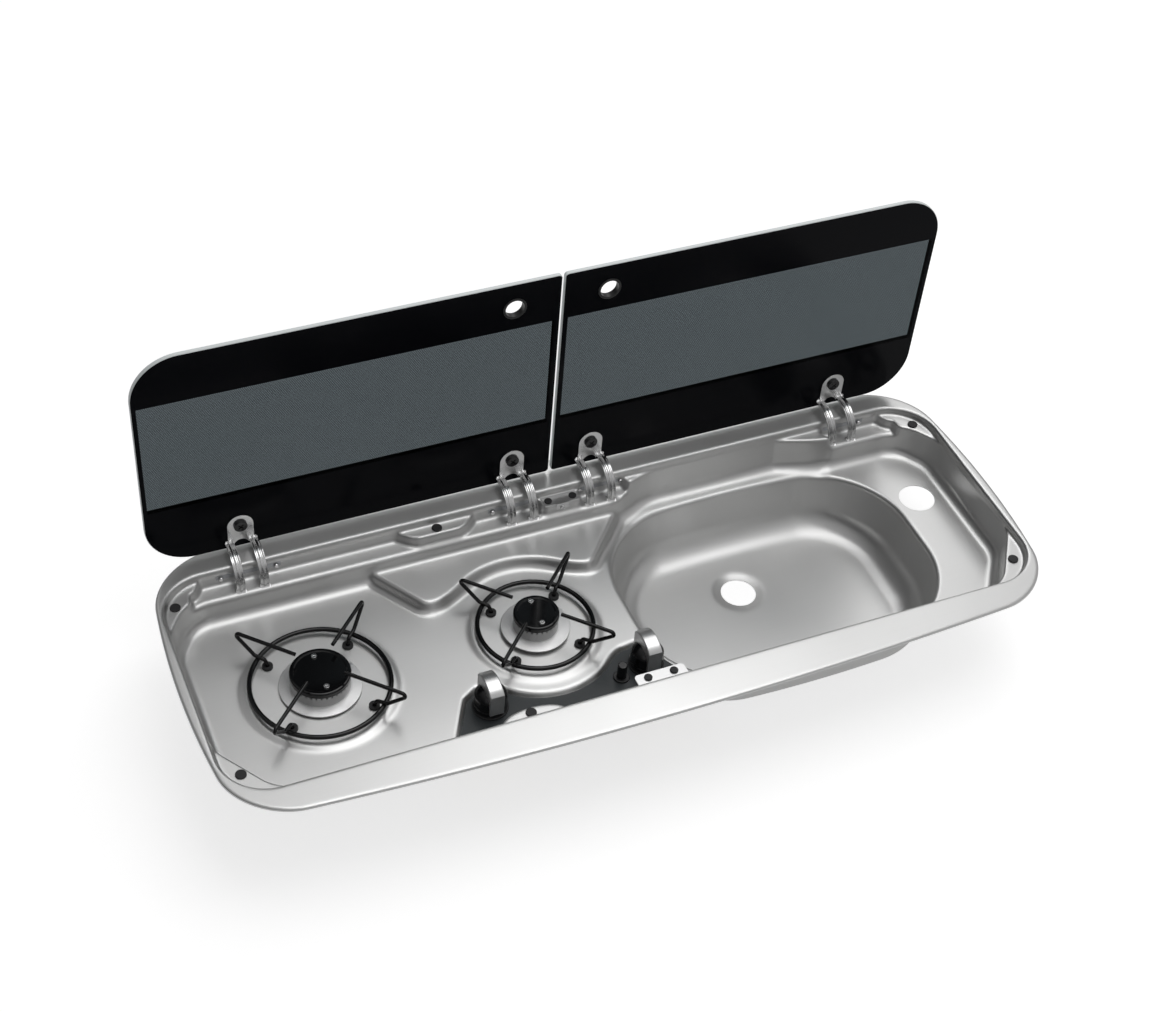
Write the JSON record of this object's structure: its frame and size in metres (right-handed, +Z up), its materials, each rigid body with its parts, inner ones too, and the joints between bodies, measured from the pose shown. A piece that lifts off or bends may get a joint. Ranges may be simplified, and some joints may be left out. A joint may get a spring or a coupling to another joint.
{
  "type": "rv sink with glass lid",
  "caption": "Caravan hob and sink pressed in a stainless top, with gas burners, wire pan supports, a bowl, push-turn knobs and hinged dark glass lids.",
  "frame": {"origin": "centre of the flange's seat, at the level of the worktop that its lip rests on", "axes": "+X from the hob to the sink, +Y to the lid hinges at the back, +Z up"},
  "size_m": [0.9, 0.37, 0.3898],
  "materials": {
    "stainless": "satin pressed stainless sheet",
    "polished_steel": "polished",
    "zinc_steel": "zinc plated",
    "black_rubber": "matt",
    "black_wire": "satin black coating",
    "black_enamel": "gloss black enamel",
    "burner_alloy": "fine turned",
    "cup_alloy": "cast",
    "brass": "plain",
    "panel_grey": "satin dark grey",
    "knob_black": "gloss",
    "knob_silver": "satin",
    "dark_glass": "toughened, printed on its front face",
    "black_plastic": "satin",
    "ceramic": "glazed",
    "copper_lead": "sleeved"
  },
  "bodies": {
    "sink": {"pan": "stainless", "control_panel": "panel_grey", "rear_pad_bracket": "polished_steel", "rear_bracket_screw": "polished_steel", "front_pad_bracket": "polished_steel", "lid_buffers": "black_rubber", "bracket_pads": "black_rubber", "hinge_case_left_outer": "zinc_steel", "hinge_case_left_inner": "zinc_steel", "hinge_case_right_inner": "zinc_steel", "hinge_case_right_outer": "zinc_steel", "hinge_rivets": "polished_steel", "hinge_pins": "polished_steel", "burner_cup_large": "cup_alloy", "burner_cup_small": "cup_alloy", "burner_skirt_large": "polished_steel", "burner_skirt_small": "polished_steel", "burner_ring_large": "burner_alloy", "burner_ring_small": "burner_alloy", "burner_cap_large": "black_enamel", "burner_cap_small": "black_enamel", "burner_cap_screws": "polished_steel", "injectors": "brass", "electrode_insulators": "ceramic", "electrode_pins": "polished_steel", "support_grommets": "black_rubber", "tap_body_left": "brass", "tap_body_right": "brass", "gas_rail": "zinc_steel", "gas_pipe_left": "zinc_steel", "gas_pipe_right": "zinc_steel", "pipe_nuts": "brass", "igniter_body": "black_plastic", "igniter_nut": "black_plastic", "ignition_leads": "copper_lead", "thermocouples": "zinc_steel", "knob_seals": "black_rubber"},
    "pan_support_large": {"pan_support_large": "black_wire"},
    "pan_support_small": {"pan_support_small": "black_wire"},
    "tap_plunger_left": {"tap_plunger_left": "brass"},
    "tap_plunger_right": {"tap_plunger_right": "brass"},
    "knob_left": {"tap_spindle_left": "brass", "knob_left": "knob_black", "knob_grip_left": "knob_silver"},
    "knob_right": {"tap_spindle_right": "brass", "knob_right": "knob_black", "knob_grip_right": "knob_silver"},
    "igniter_button": {"igniter_button": "knob_black"},
    "lid_left": {"lid_glass_left": "dark_glass", "hinge_arm_left_outer": "polished_steel", "hinge_arm_left_inner": "polished_steel", "lid_screws_left": "black_enamel", "lid_cap_nuts_left": "black_plastic", "finger_ring_left": "black_plastic"},
    "lid_right": {"lid_glass_right": "dark_glass", "hinge_arm_right_inner": "polished_steel", "hinge_arm_right_outer": "polished_steel", "lid_screws_right": "black_enamel", "lid_cap_nuts_right": "black_plastic", "finger_ring_right": "black_plastic"}
  },
  "joints": [
    {"name": "lid_left_hinge", "type": "hinge", "parent": "sink", "child": "lid_left", "pos_m": [0, 0.1544, -0.0141], "axis": [-1, 0, 0], "range_deg": [-90, 0]},
    {"name": "lid_right_hinge", "type": "hinge", "parent": "sink", "child": "lid_right", "pos_m": [0, 0.1544, -0.0141], "axis": [-1, 0, 0], "range_deg": [-90, 0]},
    {"name": "pan_support_large_lift", "type": "slide", "parent": "sink", "child": "pan_support_large", "axis": [0, 0, 1], "range_m": [0, 0.06]},
    {"name": "pan_support_small_lift", "type": "slide", "parent": "sink", "child": "pan_support_small", "axis": [0, 0, 1], "range_m": [0, 0.06]},
    {"name": "knob_left_push", "type": "slide", "parent": "sink", "child": "tap_plunger_left", "axis": [0, 0, -1], "range_m": [0, 0.0035], "stiffness_N_per_m": 1500, "springref_m": -0.002},
    {"name": "knob_left_turn", "type": "hinge", "parent": "tap_plunger_left", "child": "knob_left", "pos_m": [-0.159, -0.077, -0.04], "axis": [0, 0, 1], "range_deg": [0, 210]},
    {"name": "knob_right_push", "type": "slide", "parent": "sink", "child": "tap_plunger_right", "axis": [0, 0, -1], "range_m": [0, 0.0035], "stiffness_N_per_m": 1500, "springref_m": -0.002},
    {"name": "knob_right_turn", "type": "hinge", "parent": "tap_plunger_right", "child": "knob_right", "pos_m": [0.0106, -0.0776, -0.04], "axis": [0, 0, 1], "range_deg": [0, 210]},
    {"name": "igniter_push", "type": "slide", "parent": "sink", "child": "igniter_button", "axis": [0, 0, -1], "range_m": [0, 0.004], "stiffness_N_per_m": 1200, "springref_m": -0.002}
  ]
}
